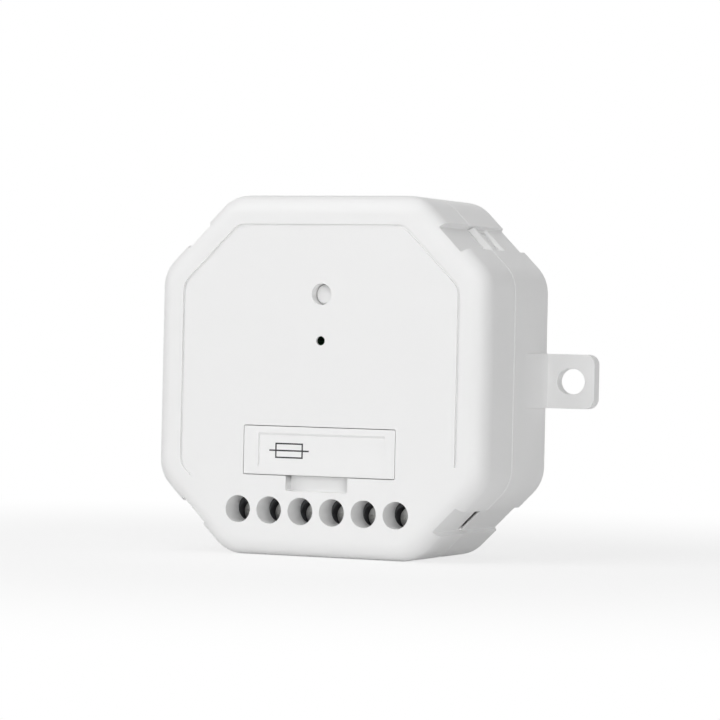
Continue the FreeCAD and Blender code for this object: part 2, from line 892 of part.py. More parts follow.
def varistor():
    """A disc that stands on edge on the power board."""
    x, z = varistor_place
    depth = board_front - varistor_radius
    disc = cross_rod((x - varistor_thickness / 2, x + varistor_thickness / 2), z, depth, varistor_radius)
    return fuse_all([disc] + leads("varistor", varistor_radius))


def supply_inductor():
    """A shielded inductor, a square ferrite block on two leads."""
    box = surface_part(*inductor_place, inductor_size, inductor_size, inductor_depth)
    return fuse_all([box] + leads("inductor"))


def surface_part(x, z, width, height, depth):
    """A moulded package that lies on the power board."""
    shape = centred(x, z, width, height, (board_front - depth, board_front))
    return shape.makeChamfer(package_bevel, face_edges(shape, board_front - depth))


def power_transistors():
    """Two transistors side by side, each with its metal tab at the top."""
    pair = []
    half = transistor_width / 2 - tab_inset
    top = transistor_z + transistor_height / 2
    for s in (-1, 1):
        x = s * (transistor_width + transistor_gap) / 2
        body = surface_part(x, transistor_z, transistor_width, transistor_height, transistor_depth)
        tab = block((x - half, x + half), (top - overrun, top + tab_height),
                    (board_front - tab_thickness, board_front))
        pair.append(fuse_all([body, tab]))
    return Part.makeCompound(pair)


def heat_spreader():
    """The metal plate that lies on both transistors."""
    back = board_front - transistor_depth
    return centred(0, transistor_z, spreader_width, spreader_height, (back - spreader_thickness, back))


def write(name, shape):
    """Save one piece and print what it is."""
    shape.exportStep("parts/" + name + ".step")
    print(name, "solids", len(shape.Solids), "volume", round(shape.Volume, 2), "valid", shape.isValid())


def build():
    pieces = {
        "front_cover": front_cover(),
        "rear_housing": rear_housing(),
        "fuse_cover": fuse_door(),
        "push_button": push_button(),
        "switch_body": switch_body(),
        "switch_plunger": switch_plunger(),
        "status_led": status_light(),
        "control_board": control_board(),
        "radio_board": radio_board(),
        "radio_shield": radio_shield(),
        "controller_chip": controller_chip(),
        "board_header": board_header(),
        "main_board": main_board(),
        "terminal_block": terminal_block(),
        "contact_bars": contact_bars(),
        "fuse_tube": fuse_tube(),
        "fuse_caps": fuse_caps(),
        "fuse_clips": fuse_clips(),
        "choke_core": choke_core(),
        "choke_winding": choke_winding(),
        "film_capacitor": film_capacitor(),
        "smoothing_capacitor": smoothing_capacitor(),
        "varistor": varistor(),
        "supply_inductor": supply_inductor(),
        "bridge_rectifier": surface_part(*rectifier_place, rectifier_width, rectifier_height,
                                         rectifier_depth),
        "power_transistors": power_transistors(),
        "heat_spreader": heat_spreader(),
        "optocoupler": surface_part(*coupler_place, coupler_width, coupler_height, coupler_depth),
    }
    for i, x in enumerate(terminals()):
        pieces["terminal_screw_" + str(i + 1)] = terminal_screw(x)
        pieces["clamp_cage_" + str(i + 1)] = clamp_cage(x)
    return pieces


os.makedirs("parts", exist_ok=True)
for piece_name, piece_shape in build().items():
    write(piece_name, piece_shape)
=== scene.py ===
# %% [markdown]
# This file dresses a flush-mounted dimmer module: a small white case that sits in a wall box
# behind a switch. The engineering model gives every piece its place and size. What is added here
# is how the pieces look: softened moulded edges, wound wire, the finish of each material, the
# printed sign on the fuse door, and the studio.

# %% Load the engineering model
import json
import math

import bmesh
import bpy
from mathutils import Matrix, Vector

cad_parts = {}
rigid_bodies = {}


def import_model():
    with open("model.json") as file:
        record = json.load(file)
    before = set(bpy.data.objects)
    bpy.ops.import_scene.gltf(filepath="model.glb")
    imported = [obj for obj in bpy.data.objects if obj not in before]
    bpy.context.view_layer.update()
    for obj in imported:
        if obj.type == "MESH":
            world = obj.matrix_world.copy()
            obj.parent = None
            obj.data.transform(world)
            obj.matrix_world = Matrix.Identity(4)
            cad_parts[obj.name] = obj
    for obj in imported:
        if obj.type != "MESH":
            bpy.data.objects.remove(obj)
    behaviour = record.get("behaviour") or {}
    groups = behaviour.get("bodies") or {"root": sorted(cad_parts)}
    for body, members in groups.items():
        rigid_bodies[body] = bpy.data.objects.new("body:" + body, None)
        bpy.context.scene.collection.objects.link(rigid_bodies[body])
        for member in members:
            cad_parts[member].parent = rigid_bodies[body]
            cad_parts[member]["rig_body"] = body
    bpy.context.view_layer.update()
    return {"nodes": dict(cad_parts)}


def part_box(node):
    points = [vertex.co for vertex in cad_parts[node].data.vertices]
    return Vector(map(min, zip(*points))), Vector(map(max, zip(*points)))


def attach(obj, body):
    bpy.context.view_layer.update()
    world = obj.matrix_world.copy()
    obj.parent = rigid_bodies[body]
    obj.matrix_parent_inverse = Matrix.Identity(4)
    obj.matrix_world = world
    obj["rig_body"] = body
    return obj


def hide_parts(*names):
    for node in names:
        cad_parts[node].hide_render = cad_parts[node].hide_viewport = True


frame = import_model()
nodes = frame["nodes"]
print("pieces loaded:", len(nodes))

# %% [markdown]
# The model is in metres, and the details of a case this small are tenths of a millimetre.
# One name for a millimetre lets each size be written as a maker would say it.

# %% Units and the main places
MM = 0.001
case_low, case_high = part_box("front_cover")
case_middle = (case_low + case_high) / 2
print("case width in mm:", round((case_high.x - case_low.x) / MM, 2))

# %% [markdown]
# A finish changes over a surface: a moulded face has a fine grain, metal has scratches, a board
# has its tracks. Such changes are sums on sockets. Placing each Math node by hand hides the sum,
# so a small class wraps a socket and lets Python's own signs build the nodes. The same text then
# reads as the formula that it makes.

# %% A socket that adds up like a number
class Flow:
    """The value of a socket. Each sum with it adds one Math node."""

    def __init__(self, recipe, socket):
        self.recipe = recipe
        self.socket = socket

    def math(self, operation, *values):
        return self.recipe.node("ShaderNodeMath", {"operation": operation},
                                dict(enumerate(values)))

    def __add__(self, other):
        return self.math("ADD", self, other)

    __radd__ = __add__

    def __mul__(self, other):
        return self.math("MULTIPLY", self, other)

    __rmul__ = __mul__

    def __rsub__(self, other):
        return self.math("SUBTRACT", other, self)

    def above(self, level):
        return self.math("GREATER_THAN", self, level)

    def below(self, level):
        return self.math("LESS_THAN", self, level)


print("sums on sockets are ready")

# %% [markdown]
# One method makes any node: its kind, then the settings that change which sockets it has, then
# the values or links of those sockets. That order matters, because a node that is set after it
# is linked can drop the link. Materials and the room light both have such nodes, so the method
# belongs to what they share.

# %% The one way to add a node
class Recipe:
    """The nodes of a finish, or of the room."""

    def __init__(self, owner):
        owner.use_nodes = True
        self.tree = owner.node_tree

    def fill(self, socket, value):
        if isinstance(value, Flow):
            self.tree.links.new(value.socket, socket)
        else:
            socket.default_value = value

    def node(self, kind, settings=None, sockets=None, output=0):
        made = self.tree.nodes.new(kind)
        for name, value in (settings or {}).items():
            setattr(made, name, value)
        for key, value in (sockets or {}).items():
            self.fill(made.inputs[key], value)
        return Flow(self, made.outputs[output])


print("recipes are ready")

# %% [markdown]
# Every finish starts from one shader and adds texture nodes to it. The textures are laid out by
# the place of a point on its piece, counted in millimetres, so that a grain has its real size
# on a large piece and on a small one. Three layers serve nearly every material here: a cloudy
# noise, a mix of two colours, and a fine relief.

# %% A finish and the layers that most of them share
class Finish(Recipe):
    """A material in the making."""

    def __init__(self, name):
        self.material = bpy.data.materials.new(name)
        super().__init__(self.material)
        self.shader = self.tree.nodes["Principled BSDF"]

    def set(self, **values):
        """Fill the shader's own sockets, named with _ for a space."""
        for name, value in values.items():
            self.fill(self.shader.inputs[name.replace("_", " ")], value)

    def place(self, x=1.0, y=1.0, z=1.0):
        """Where a point is on its piece, in millimetres times a stretch along each axis."""
        coordinates = self.node("ShaderNodeTexCoord", output="Object")
        scale = (x / MM, y / MM, z / MM)
        return self.node("ShaderNodeVectorMath", {"operation": "MULTIPLY"},
                         {0: coordinates, 1: scale})

    def noise(self, place, grains, detail=2.0, roughness=0.5):
        """Cloudy noise with so many grains to the millimetre, from 0 to 1."""
        return self.node("ShaderNodeTexNoise", None,
                         {"Vector": place, "Scale": grains, "Detail": detail,
                          "Roughness": roughness})

    def mix(self, share, first, second):
        """From one colour to the other as the share goes from 0 to 1."""
        return self.node("ShaderNodeMix", {"data_type": "RGBA"},
                         {"Factor": share, 6: first, 7: second}, 2)

    def relief(self, height, depth):
        """A fine relief so many millimetres deep, for the shader's normal."""
        return self.node("ShaderNodeBump", None, {"Height": height, "Distance": depth * MM})


def grey(level):
    """A neutral colour."""
    return (level, level, level, 1)


def tint(colour, factor):
    """A colour made lighter or darker."""
    return tuple(min(1, part * factor) for part in colour[:3]) + (1,)


print("finishes can be made now")

# %% [markdown]
# The case is matt white polycarbonate from a mould whose faces were spark eroded, which leaves
# a fine even grain about a fifth of a millimetre across. The grain catches the light as relief
# and makes the gloss patchy. Under it lie broad faint clouds, where the plastic cooled a little
# faster over thin walls. A flat white would look like paper, so three noises of different scale
# do the three jobs.

# %% White moulded case
def moulded_white(name, level, roughness):
    """White plastic, from its level of white and its least roughness."""
    finish = Finish(name)
    grain = finish.noise(finish.place(), grains=4.5, detail=3.0, roughness=0.6)
    clouds = finish.noise(finish.place(), grains=0.09, detail=1.0)
    flow = finish.noise(finish.place(0.35, 1.0, 1.4), grains=0.4)
    tone = 0.7 * clouds + 0.3 * flow
    cool_white = grey(level * 0.985)
    warm_white = (level, level, level * 0.996, 1)
    finish.set(
        Base_Color=finish.mix(tone, cool_white, warm_white),
        Roughness=roughness + 0.1 * grain + 0.05 * flow,
        Normal=finish.relief(grain, depth=0.006),
        IOR=1.49,
    )
    return finish.material


case_white = moulded_white("spark_eroded_white", level=0.9, roughness=0.44)
door_white = moulded_white("satin_white", level=0.905, roughness=0.38)
print("white finishes:", case_white.name, door_white.name)

# %% [markdown]
# Parts on a board stand on tinned legs that pass through it. A leg and its part are one piece
# in the engineering model, so one material has to hold both. That works because of where a leg
# is: whatever lies deeper than the front of the power board is a leg, and on the pin strip
# also what lies in front of the control board's back.

# %% Tinned legs
TINNED = (0.68, 0.67, 0.63, 1)


def tin_legs(finish, skin, both_boards=False):
    """The skin of a part, with tinned metal where its legs pass into a board."""
    depth = finish.node("ShaderNodeSeparateXYZ", None, {0: finish.place()}, 1)
    legs = depth.above(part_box("main_board")[0].y / MM)
    if both_boards:
        legs = legs + depth.below(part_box("control_board")[1].y / MM)
    finish.set(Metallic=legs)
    return finish.mix(legs, skin, TINNED)


# %% [markdown]
# The terminal block is dark nylon filled with glass fibre. The fibres come up to the skin as
# short pale streaks along the flow of the melt, and the surface is duller than the case's.
# Chips, the plunger and the pin strip are moulded the same way, with fewer streaks.

# %% Dark nylon and black mouldings
BLACK = (0.022, 0.022, 0.024, 1)


def dark_moulding(name, colour, roughness, streaks, both_boards=False):
    """Dark plastic, with pale streaks from 0, none, to 1, strong."""
    finish = Finish(name)
    fibres = finish.noise(finish.place(1.0, 4.0, 9.0), grains=1.6, detail=3.0, roughness=0.7)
    grain = finish.noise(finish.place(), grains=6.0)
    skin = finish.mix(streaks * fibres, colour, tint(colour, 1.9))
    finish.set(
        Base_Color=tin_legs(finish, skin, both_boards),
        Roughness=roughness + 0.2 * grain,
        Normal=finish.relief(grain, depth=0.005),
    )
    return finish.material


nylon_dark = dark_moulding("glass_filled_nylon", (0.080, 0.082, 0.087, 1),
                           roughness=0.5, streaks=0.5)
package_black = dark_moulding("chip_package", BLACK, roughness=0.42, streaks=0.25)
header_black = dark_moulding("pin_header", BLACK, roughness=0.42, streaks=0.25, both_boards=True)
plunger_grey = dark_moulding("plunger_grey", grey(0.09), roughness=0.4, streaks=0.2)
print("dark finishes:", nylon_dark.name, package_black.name, header_black.name, plunger_grey.name)

# %% [markdown]
# Small steel and brass parts are barrel plated: bright, with a faint milky bloom and fine
# scratches in every direction from tumbling against each other. Noise stretched hard one way
# gives scratches, and two such noises crossed give the tumbled look. The scratches change the
# roughness more than the colour.

# %% Plated and bare metals
def plated_metal(name, colour, roughness, bloom=0.25):
    """Tumbled metal, with a milky bloom from 0, none, to 1, strong."""
    finish = Finish(name)
    across = finish.noise(finish.place(0.6, 5.0, 5.0), grains=2.2, detail=3.0)
    along = finish.noise(finish.place(5.0, 5.0, 0.6), grains=2.2, detail=3.0)
    cloud = finish.noise(finish.place(), grains=0.7)
    scratches = 0.5 * across + 0.5 * along
    finish.set(
        Base_Color=finish.mix(bloom * cloud, colour, tint(colour, 1.35)),
        Metallic=1.0,
        Roughness=roughness + 0.22 * scratches,
        Normal=finish.relief(scratches, depth=0.004),
    )
    return finish.material


zinc_steel = plated_metal("zinc_plated_steel", (0.56, 0.56, 0.55, 1), roughness=0.24)
tinned_brass = plated_metal("tinned_brass", (0.76, 0.64, 0.40, 1), roughness=0.2)
tinned_bronze = plated_metal("tinned_bronze", (0.70, 0.66, 0.57, 1), roughness=0.2)
nickel_bright = plated_metal("bright_nickel", (0.74, 0.73, 0.70, 1), roughness=0.1, bloom=0.1)
tin_plate = plated_metal("tin_plate", (0.66, 0.66, 0.65, 1), roughness=0.26)
mill_aluminium = plated_metal("mill_aluminium", (0.70, 0.70, 0.71, 1), roughness=0.3)
print("metals:", zinc_steel.name, tinned_brass.name, tinned_bronze.name, nickel_bright.name,
      tin_plate.name, mill_aluminium.name)

# %% [markdown]
# A circuit board is woven glass under a coloured solder mask. Copper below the mask shows as
# raised, lighter ground: some of it is poured areas with thin gaps between them, and some is
# bundles of fine tracks. Drawing each track would take a drawing of the whole circuit. A brick
# texture gives the same order of straight gaps, and its uneven bricks hide the repeat.

# %% Bricks of copper
JOINT_TONE = 0.1


def bricks(finish, place, width, height, joint):
    """Bricks in millimetres, each with a chance tone from 0.3 to 1, and joints of 0."""
    laid = {"offset": 0.37, "offset_frequency": 3, "squash": 0.55, "squash_frequency": 2}
    sizes = {"Brick Width": width, "Row Height": height, "Mortar Size": joint, "Scale": 1.0}
    tones = {"Color1": grey(0.3), "Color2": grey(1), "Mortar": grey(0)}
    return finish.node("ShaderNodeTexBrick", laid, {"Vector": place, **sizes, **tones})


print("a tone under", JOINT_TONE, "is a gap between two bricks of copper")

# %% [markdown]
# Two such textures make a board. The large bricks are the copper areas, and where the chance
# tone of one is high, the thin long bricks of the second texture cut it into tracks. The small
# bright rings are the plated holes, from a flat Voronoi texture, and a fine noise gives the
# weave of the glass. The textures are turned so that they lie in the plane of the boards.

# %% Circuit boards
TRACK_TONE = 0.62
RING_INNER = 0.045
RING_OUTER = 0.09


def solder_mask(name, colour, area, holes):
    """A board with copper areas so many millimetres wide, and so many holes to the millimetre."""
    finish = Finish(name)
    flat = finish.node("ShaderNodeVectorRotate", {"rotation_type": "X_AXIS"},
                       {"Vector": finish.place(), "Angle": math.pi / 2})
    pours = bricks(finish, flat, width=area, height=area * 0.55, joint=0.13)
    tracks = bricks(finish, flat, width=area * 2.7, height=0.5, joint=0.15)
    gaps = pours.above(TRACK_TONE) * tracks.below(JOINT_TONE)
    copper = pours.above(JOINT_TONE) * (1 - gaps)
    hole = finish.node("ShaderNodeTexVoronoi", {"voronoi_dimensions": "2D"},
                       {"Vector": flat, "Scale": holes, "Randomness": 0.8})
    ring = hole.below(RING_OUTER) * hole.above(RING_INNER)
    weave = finish.noise(finish.place(3.0, 3.0, 3.0), grains=1.4, detail=1.0)
    mask = finish.mix(copper, tint(colour, 0.7), tint(colour, 1.3))
    finish.set(
        Base_Color=finish.mix(ring, mask, TINNED),
        Metallic=0.9 * ring,
        Roughness=0.28 + 0.12 * weave,
        Normal=finish.relief(copper + 0.15 * weave, depth=0.02),
        Coat_Weight=0.3,
    )
    return finish.material


board_green = solder_mask("green_solder_mask", (0.022, 0.13, 0.052, 1), area=5.2, holes=0.36)
board_blue = solder_mask("blue_solder_mask", (0.015, 0.045, 0.14, 1), area=2.4, holes=0.8)
print("boards:", board_green.name, board_blue.name)

# %% [markdown]
# The bought-in parts on the boards each have their maker's usual skin: a glazed ceramic tube,
# dipped epoxy, a shrunk sleeve, sintered ferrite or clear resin. They share one recipe of a
# mottled colour, a gloss that follows the mottling, and a fine relief, and differ in its numbers.

# %% Skins of the bought-in parts
def component_skin(name, colour, roughness, mottle, grains, depth, coat=0.0):
    """The skin of a bought-in part: mottled from 0 to 1 by so many grains to the millimetre,
    with a relief in millimetres, under a clear coat from 0 to 1."""
    finish = Finish(name)
    speckle = finish.noise(finish.place(), grains, detail=3.0, roughness=0.6)
    skin = finish.mix(mottle * speckle, colour, tint(colour, 1.6))
    finish.set(
        Base_Color=tin_legs(finish, skin),
        Roughness=roughness + 0.15 * speckle,
        Normal=finish.relief(speckle, depth),
        Coat_Weight=coat,
    )
    return finish.material


glazed_ceramic = component_skin("glazed_ceramic", (0.74, 0.72, 0.67, 1),
                                roughness=0.22, mottle=0.15, grains=1.5, depth=0.004, coat=0.5)
film_epoxy = component_skin("film_epoxy", (0.72, 0.50, 0.07, 1),
                            roughness=0.3, mottle=0.2, grains=2.0, depth=0.01, coat=0.2)
can_sleeve = component_skin("shrunk_sleeve", (0.035, 0.04, 0.085, 1),
                            roughness=0.3, mottle=0.2, grains=1.0, depth=0.006, coat=0.3)
varistor_blue = component_skin("dipped_epoxy", (0.025, 0.11, 0.36, 1),
                               roughness=0.24, mottle=0.3, grains=0.8, depth=0.03, coat=0.4)
sintered_ferrite = component_skin("sintered_ferrite", (0.05, 0.05, 0.055, 1),
                                  roughness=0.55, mottle=0.6, grains=7.0, depth=0.01)
clear_resin = component_skin("clear_resin", (0.80, 0.76, 0.55, 1),
                             roughness=0.12, mottle=0.1, grains=1.0, depth=0.003, coat=0.6)
print("skins:", glazed_ceramic.name, film_epoxy.name, can_sleeve.name, varistor_blue.name,
      sintered_ferrite.name, clear_resin.name)

# %% [markdown]
# The choke is wound with enamelled copper: metal under a thin clear varnish. Such wire isn't
# one even red, so a noise goes between two reds, and the varnish is a coat over the metal.

# %% Enamelled wire
def enamelled_wire(name, dark_copper, pale_copper):
    """Varnished copper, between two reds."""
    finish = Finish(name)
    drawn = finish.noise(finish.place(), grains=3.0)
    finish.set(
        Base_Color=finish.mix(drawn, dark_copper, pale_copper),
        Metallic=0.9,
        Roughness=0.22 + 0.12 * drawn,
        Normal=finish.relief(drawn, depth=0.01),
        Coat_Weight=0.6,
    )
    return finish.material


copper_enamel = enamelled_wire("enamelled_wire", (0.52, 0.17, 0.06, 1), (0.72, 0.33, 0.14, 1))
print("wire:", copper_enamel.name)

# %% [markdown]
# Pieces that are made here are built as loose points and faces first. To be seen, they become
# an object in the scene, which then gets a finish. Both steps are the same for every piece.

# %% From a mesh to a dressed piece
def add_piece(name, mesh):
    """A finished mesh as an object in the scene."""
    data = bpy.data.meshes.new(name)
    mesh.to_mesh(data)
    mesh.free()
    piece = bpy.data.objects.new(name, data)
    bpy.context.scene.collection.objects.link(piece)
    return piece


def dress(piece, material):
    """Give a piece its finish."""
    piece.data.materials.clear()
    piece.data.materials.append(material)
    return piece


# %% [markdown]
# Edges are about to be rounded. Smooth shading alone would then make the flat faces look puffed
# up, because each point would share its normal with the rounding beside it. So each point takes
# the normal of the flat area round it, where there is one. Faces that point the same way are
# summed up, by their size and their angle at the point, and a sum that outweighs the rest wins.

# %% Even normals
SAME_FLAT = math.radians(1)
FLAT_SHARE = 0.9


def even_normals(mesh):
    """A normal for each point: that of the flat area that fills most of its surroundings,
    or else their mean. Areas are in square millimetres, so that slivers keep a direction."""
    normals = []
    for vert in mesh.verts:
        flats = []
        for loop in vert.link_loops:
            push = loop.face.normal * loop.face.calc_area() * loop.calc_angle() / MM ** 2
            same = [flat for flat in flats if push.length and flat.angle(push) < SAME_FLAT]
            if same:
                same[0] += push
            elif push.length:
                flats.append(push)
        whole = sum(flat.length for flat in flats)
        main = [flat for flat in flats if flat.length > FLAT_SHARE * whole] or flats
        normals.append(sum(main, Vector()).normalized())
    return normals


print("an area over", FLAT_SHARE, "of a point's surroundings gives it its normal")

# %% [markdown]
# No moulded edge is truly sharp: the tool's corners are rounded by a tenth or two, and that
# sliver of an edge is what catches the light in a photograph. The engineering model leaves it
# out. A Bevel modifier would trip on the model's long thin triangles, so the mesh is copied,
# its loose points are joined, and flat areas are merged and cut again into the plumpest
# triangles they allow. Only then are the sharp edges rounded, because an inner edge that almost
# grazes a hole would be crossed by the rounding.

# %% A mesh ready for rounding
WELD_REACH = 1e-7
FLAT_ANGLE = math.radians(0.5)


def edges_by_angle(mesh, fits):
    """The edges at which two faces meet at an angle, in radians, that fits."""
    return [e for e in mesh.edges if len(e.link_faces) == 2 and fits(e.calc_face_angle())]


def plump_mesh(node):
    """A copy of a node's mesh, with its flat areas cut into plump triangles."""
    mesh = bmesh.new()
    mesh.from_mesh(node.data)
    bmesh.ops.remove_doubles(mesh, verts=mesh.verts[:], dist=WELD_REACH)
    bmesh.ops.dissolve_limit(mesh, angle_limit=FLAT_ANGLE, verts=mesh.verts[:],
                             edges=mesh.edges[:])
    bmesh.ops.triangulate(mesh, faces=mesh.faces[:], ngon_method="BEAUTY")
    inner = edges_by_angle(mesh, lambda angle: angle < FLAT_ANGLE)
    bmesh.ops.beautify_fill(mesh, faces=mesh.faces[:], edges=inner)
    return mesh


print("edges under", round(math.degrees(FLAT_ANGLE), 2), "degrees count as flat")

# %% [markdown]
# The rounding leaves the faces in an order that can differ from run to run, though their points
# and shapes are always the same. So the faces are written out, sorted by the numbers of their
# points and read back, and every run gives the same mesh to the last number.

# %% Faces in a steady order
def steady(mesh):
    """The same mesh with its faces sorted by the numbers of their points."""
    mesh.verts.index_update()
    faces = [[vert.index for vert in face.verts] for face in mesh.faces]
    data = bpy.data.meshes.new("steady_order")
    data.from_pydata([tuple(vert.co) for vert in mesh.verts], [], sorted(faces, key=sorted))
    mesh.free()
    mesh = bmesh.new()
    mesh.from_mesh(data)
    bpy.data.meshes.remove(data)
    return mesh


print("faces are sorted by their points")

# %% [markdown]
# The rounding itself goes over the mesh twice: a fine radius for small details that a wide one
# would swallow, and a broad radius for all the other sharp edges.

# %% Soften the edges of a moulding
SHARP_ANGLE = math.radians(28)
ARCS = 2


def edge_lies_in(edge, zone):
    """Whether both ends of an edge lie between two corners, given in metres."""
    low, high = zone
    return all(low[i] <= v.co[i] <= high[i] for v in edge.verts for i in range(3))


def softened(node_name, piece_name, radius, fine_zone=None, fine_radius=0.0):
    """A copy of a node with its sharp edges rounded, in millimetres. Edges in the fine zone
    get the fine radius."""
    node = nodes[node_name]
    mesh = plump_mesh(node)
    sharp = edges_by_angle(mesh, lambda angle: angle > SHARP_ANGLE)
    fine = [e for e in sharp if fine_zone and edge_lies_in(e, fine_zone)]
    chosen = set(fine)
    broad = [e for e in sharp if e not in chosen]
    for edges, size in ((fine, fine_radius), (broad, radius)):
        alive = [e for e in edges if e.is_valid]
        bmesh.ops.bevel(mesh, geom=alive, offset=size * MM, offset_type="OFFSET", segments=ARCS,
                        profile=0.5, affect="EDGES", clamp_overlap=False)
    mesh = steady(mesh)
    normals = even_normals(mesh)
    piece = add_piece(piece_name, mesh)
    piece.data.shade_smooth()
    piece.data.normals_split_custom_set_from_vertices(normals)
    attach(piece, node["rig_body"])
    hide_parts(node_name)
    return piece


print("edges over", round(math.degrees(SHARP_ANGLE)), "degrees are softened")

# %% [markdown]
# The front cover has the finest features: the line round the panel is only about a third of a
# millimetre wide, so its edges get a much smaller radius than the rest. They are found by place:
# the line lies within 0.4 mm of the front, and well inside the rounded rim.

# %% Front cover
LINE_ZONE_DEPTH = 0.4
LINE_ZONE_EDGE = 4.0
line_low = (case_low.x + LINE_ZONE_EDGE * MM, case_low.y - MM, case_low.z + LINE_ZONE_EDGE * MM)
line_high = (case_high.x - LINE_ZONE_EDGE * MM, case_low.y + LINE_ZONE_DEPTH * MM,
             case_high.z - LINE_ZONE_EDGE * MM)
front_shell = softened("front_cover", "front_shell", radius=0.12,
                       fine_zone=(line_low, line_high), fine_radius=0.015)
dress(front_shell, case_white)
print("front shell faces:", len(front_shell.data.polygons))

# %% [markdown]
# The rear housing, the fuse door, the button and the terminal block are softened the same way.
# The door and the button have smoother faces, so their white is a touch glossier.

# %% Rear housing, door, button and terminal block
rear_shell = dress(softened("rear_housing", "rear_shell", radius=0.06), case_white)
fuse_lid = dress(softened("fuse_cover", "fuse_lid", radius=0.06), door_white)
button_cap = dress(softened("push_button", "button_cap", radius=0.08), door_white)
dark_block = dress(softened("terminal_block", "dark_block", radius=0.05), nylon_dark)
print("softened pieces:", [p.name for p in (rear_shell, fuse_lid, button_cap, dark_block)])

# %% [markdown]
# The engineering model stands in for the choke's winding with a plain ring. Wound wire looks
# quite different, because each turn is round and catches its own light. A curve with a bevel
# could show it too, but a mesh tube needs no conversion and keeps the count of its faces in
# hand: a circle of points round each place on the wire's way makes its skin.

# %% A round wire through places
WIRE_RADIUS = 0.32
WIRE_SIDES = 8
wire_circle = [math.tau * side / WIRE_SIDES for side in range(WIRE_SIDES)]


def add_wire(mesh, places, sideways):
    """A round wire through places in metres, each with a direction that lies across the wire."""
    rings = []
    for i, place in enumerate(places):
        along = (places[min(i + 1, len(places) - 1)] - places[max(i - 1, 0)]).normalized()
        out = along.cross(sideways[i]).normalized()
        across = out.cross(along)
        rings.append([mesh.verts.new(
            place + (out * math.cos(t) + across * math.sin(t)) * WIRE_RADIUS * MM)
            for t in wire_circle])
    for here, there in zip(rings, rings[1:]):
        for i in range(WIRE_SIDES):
            k = (i + 1) % WIRE_SIDES
            mesh.faces.new((here[i], here[k], there[k], there[i]))
    mesh.faces.new(rings[0][::-1])
    mesh.faces.new(rings[-1])


print("wire thickness in mm:", 2 * WIRE_RADIUS)

# %% [markdown]
# The wire goes round the ring core's section again and again. Seen along the ring, each round is
# a rectangle that hugs the core, with a quarter circle at each of its corners.

# %% The wire's way round the core
CORE_BORE = 2.7
WIRE_STAND_OFF = 0.35
BEND = [math.radians(angle) for angle in (0, 45, 90)]
core_low, core_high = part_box("choke_core")
core_middle = (core_low + core_high) / 2
core_outer = (core_high.x - core_low.x) / 2


def section_way():
    """One round of the wire's middle, as pairs of radius and depth in metres."""
    corners = [(core_outer, core_high.y), (CORE_BORE * MM, core_high.y),
               (CORE_BORE * MM, core_low.y), (core_outer, core_low.y)]
    way = []
    for quarter, (radius, depth) in enumerate(corners):
        for bend in BEND:
            angle = quarter * math.pi / 2 + bend
            way.append((radius + math.cos(angle) * WIRE_STAND_OFF * MM,
                        depth + math.sin(angle) * WIRE_STAND_OFF * MM))
    return way


wire_round = section_way()
print("places on one round of the wire:", len(wire_round))

# %% [markdown]
# While the wire goes round the section, it travels along the ring, from one side of the gap at
# the foot to the other. Two straight legs pass from the winding into the board.

# %% Turns of the choke's winding
WIRE_TURNS = 17
WOUND_FROM = math.radians(-57)
WOUND_TO = math.radians(237)


def choke_coil(mesh):
    """The turns, on one way that never stops."""
    steps = WIRE_TURNS * len(wire_round)
    places, sideways = [], []
    for step in range(steps + 1):
        radius, depth = wire_round[step % len(wire_round)]
        angle = WOUND_FROM + (WOUND_TO - WOUND_FROM) * step / steps
        places.append(Vector((core_middle.x + radius * math.cos(angle), depth,
                              core_middle.z + radius * math.sin(angle))))
        sideways.append(Vector((-math.sin(angle), 0, math.cos(angle))))
    add_wire(mesh, places, sideways)


def choke_legs(mesh):
    """The two legs, on the middle of the ring and 45 degrees to each side of its foot."""
    far_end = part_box("choke_winding")[1].y
    shift = (CORE_BORE * MM + core_outer) / 2 / math.sqrt(2)
    for side in (-1, 1):
        start = Vector((core_middle.x + side * shift, core_high.y + WIRE_STAND_OFF * MM,
                        core_middle.z - shift))
        add_wire(mesh, [start, Vector((start.x, far_end, start.z))], [Vector((1, 0, 0))] * 2)


def choke_turns():
    """Turns and legs as one piece, which stands for the plain ring."""
    mesh = bmesh.new()
    choke_coil(mesh)
    choke_legs(mesh)
    bmesh.ops.recalc_face_normals(mesh, faces=mesh.faces[:])
    piece = add_piece("choke_turns", mesh)
    piece.data.shade_smooth()
    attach(piece, nodes["choke_winding"]["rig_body"])
    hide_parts("choke_winding")
    return piece


winding = dress(choke_turns(), copper_enamel)
print("faces of the wound wire:", len(winding.data.polygons))

# %% [markdown]
# All the other pieces keep the engineering model's own meshes, because their shape is right.
# Only the finish on each is new. The numbered screws and cages share one material.

# %% Finishes for the other nodes
finishes = {
    "contact_bars": tinned_brass,
    "fuse_tube": glazed_ceramic,
    "fuse_caps": nickel_bright,
    "fuse_clips": tinned_bronze,
    "main_board": board_green,
    "control_board": board_green,
    "radio_board": board_blue,
    "radio_shield": tin_plate,
    "board_header": header_black,
    "switch_body": package_black,
    "switch_plunger": plunger_grey,
    "bridge_rectifier": package_black,
    "power_transistors": package_black,
    "optocoupler": package_black,
    "controller_chip": package_black,
    "status_led": clear_resin,
    "choke_core": sintered_ferrite,
    "supply_inductor": sintered_ferrite,
    "film_capacitor": film_epoxy,
    "smoothing_capacitor": can_sleeve,
    "varistor": varistor_blue,
    "heat_spreader": mill_aluminium,
}
for name in nodes:
    if name.startswith(("terminal_screw", "clamp_cage")):
        finishes[name] = zinc_steel
for name, material in finishes.items():
    nodes[name].material_slots[0].material = material
print("nodes with a new finish:", len(finishes))

# %% [markdown]
# The door carries the usual sign for a fuse, a box with a line through it, pad printed in dark
# ink. Ink is slightly uneven, so its colour, gloss and relief follow a fine noise.

